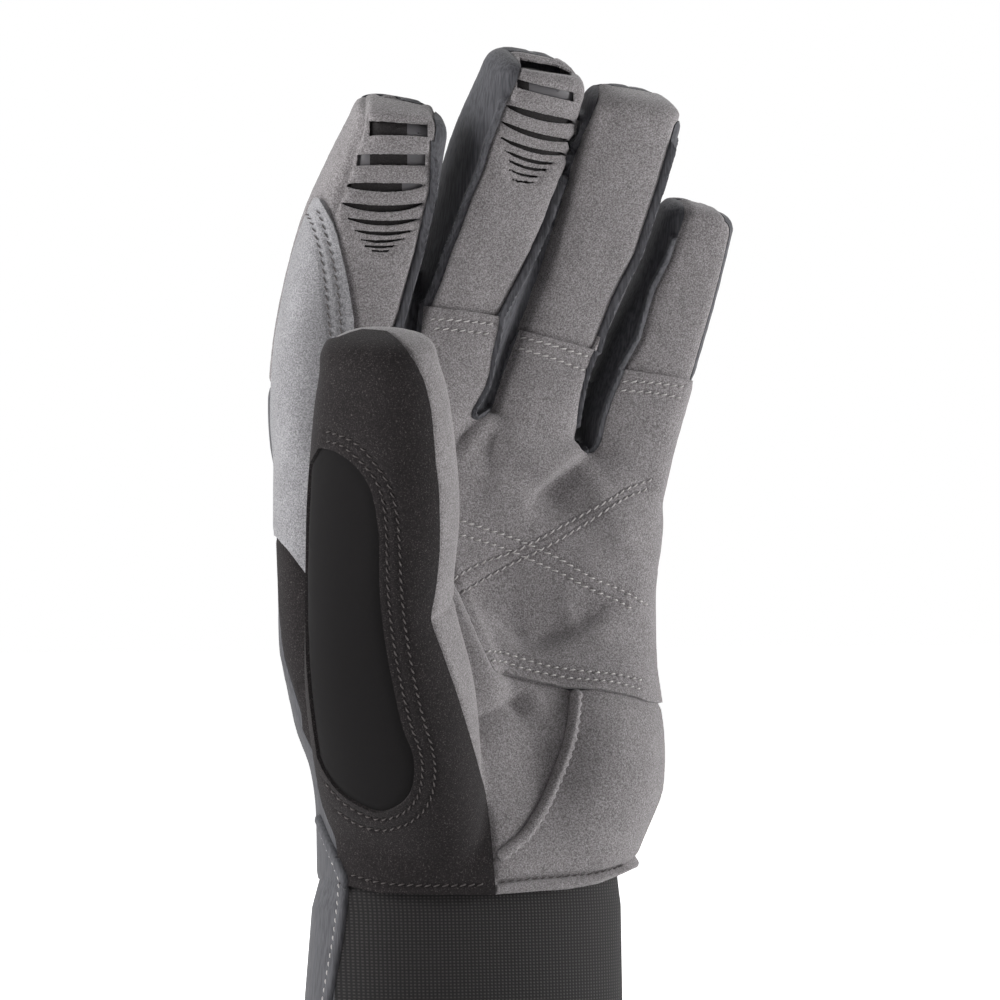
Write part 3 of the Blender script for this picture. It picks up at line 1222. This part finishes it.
def on_front(fingers, places):
    """Which places are on the palm side of one of the fingers, below its tip."""
    found = np.zeros(len(places), bool)
    for name in fingers:
        x, y, along, half, _ = on_digit(name, places)
        found |= (y < WELT_REACH) & (along < shaft_of(name) - BELOW_TIP) & (np.abs(x) < half + SPARE_WIDTH)
    return found


for pair in (("index", "middle"), ("middle", "ring"), ("ring", "little")):
    name = "fourchette_" + "_".join(pair)
    side = Cloth(name, roll=0.3, welt=lambda places: on_front(pair, places))
    side.sheet(dark_softshell)

# The back of the hand: dark grey softshell, one panel from the wrist to the fingertips.
back = Cloth("back_panel", fine=False, roll=0.4)
back.sheet(grey_softshell)

# The cuff: black knit with a fine grid on the palm side, grey softshell at the thumb's side and behind,
# and a raised, stitched binding between the two.
CUFF = np.array([
    # z, x, half width, half depth
    [0, 0.2, 39.8, 26.3],
    [28, 0.6, 39.2, 25.6],
    [49, 1.3, 38.2, 24.4],
    [52, 1.5, 37.6, 23.8],
    [58, 2, 36.4, 23.2],
])
CUFF_ROUNDNESS = 2.1
CUFF_RINGS = 60
CUFF_SIDES = 240
BINDING_LINE = [(-34, 71), (-31.1, 64.5), (-28.6, 59), (-27.6, 55.3), (-28.6, 44.6), (-30.2, 35),
                (-31.4, 28), (-33.8, 14), (-36, 1)]


def cuff_rings(inset=0):
    """The cuff's rings, set in from its outer face."""
    rows = sampled(CUFF, CUFF[:, 0], np.linspace(CUFF[0, 0], CUFF[-1, 0], CUFF_RINGS))
    z, middle, half, depth = (column[:, None] for column in rows.T)
    turns = np.linspace(0, 2 * math.pi, CUFF_SIDES, endpoint=False)
    wide, deep = oblong(turns, CUFF_ROUNDNESS)
    x = middle + (half - inset) * wide
    y = (depth - inset) * deep
    return np.stack([x, y, np.broadcast_to(z, x.shape)], axis=-1)


def in_front_of_binding(points):
    """The places on the palm side of the cuff, between the binding and the little finger's side."""
    line = np.array(BINDING_LINE)[::-1]
    across, z = facing(points).T
    return (to_palm_side(points) < 0) & (across > np.interp(z, line[:, 1], line[:, 0]))


def cuff_piece(name, node, material, keep):
    """The faces of the cuff that are kept, as a closed sheet."""
    outer, inner = cuff_rings(), cuff_rings(CLOTH)
    count, sides = outer.shape[:2]
    index = np.arange(count * sides).reshape(count, sides)
    low, after = index[:-1], np.roll(index, -1, axis=1)[:-1]
    quads = np.stack([low, after, after + sides, low + sides], axis=-1).reshape(-1, 4)
    points = np.vstack([outer.reshape(-1, 3), inner.reshape(-1, 3)])
    quads = quads[keep(points[quads].mean(1))]
    used, faces = np.unique(with_back(quads, count * sides), return_inverse=True)
    made = new_object(name, points[used], faces.reshape(-1, 4))
    made.data.set_sharp_from_angle(angle=SHARP_EDGE)
    made.data.materials.append(material)
    place_piece(made, node)


# The knit is polyester with elastane: black, with a fine grid of raised loops that catch the light.
KNIT_LOOP = {"X": 0.9, "Z": 0.76}
knit, knit_tree, knit_shader = new_material("black_knit_elastane_grid", {
    "Roughness": 0.85, "Sheen Weight": 0.1,
})
knit_where = add_node(knit_tree, "ShaderNodeTexCoord").outputs["Object"]
knit_axes = add_node(knit_tree, "ShaderNodeSeparateXYZ", {"Vector": knit_where})
waves = {}
for number, (axis, loop) in enumerate(KNIT_LOOP.items()):
    turning = {0: knit_axes.outputs[axis], 1: 2 * math.pi / (loop * MM)}
    turn = add_node(knit_tree, "ShaderNodeMath", turning, operation="MULTIPLY").outputs[0]
    waves[number] = add_node(knit_tree, "ShaderNodeMath", {0: turn}, operation="SINE").outputs[0]
loops = add_node(knit_tree, "ShaderNodeMath", waves, operation="MINIMUM").outputs[0]
heights = {"Value": loops, "From Min": -0.5, "From Max": 0.7}
raised = add_node(knit_tree, "ShaderNodeMapRange", heights).outputs[0]
knit_colours = {0: raised, 6: linear("#0c0a0b"), 7: linear("#373334")}
knit_colour = add_node(knit_tree, "ShaderNodeMix", knit_colours, data_type="RGBA").outputs[2]
dress(knit_tree, knit_shader, knit_colour, raised, strength=0.5, distance=0.2)
cuff_piece("cuff_knit_front", "cuff_front", knit, in_front_of_binding)
cuff_piece("cuff_cloth_back", "cuff_back", grey_softshell, lambda p: ~in_front_of_binding(p))


class CuffSkin:
    """The cuff's outer face, for what lies on it. Stitches leave no dents in it."""

    def surface(self):
        points, faces = loft(cuff_rings())
        return BVHTree.FromPolygons(points.tolist(), faces)

    def press(self, marks, depth, width):
        pass


# The binding: a folded strip of softshell over the cuff's seam, with one row of stitches beside it.
binding_base = [CuffSkin(), back, thumb_black]
binding = bead("cuff_edge_binding", binding_base, BINDING_LINE[::-1], grey_softshell, width=2.5, rise=1.4)
place_piece(binding, "cuff_binding")
BINDING_MARGIN = 1.5
BINDING_ROW = [(across - BINDING_MARGIN, z) for across, z in BINDING_LINE[::-1]]
sewn("binding_stitching", [CuffSkin(), back], [BINDING_ROW], grey_thread)
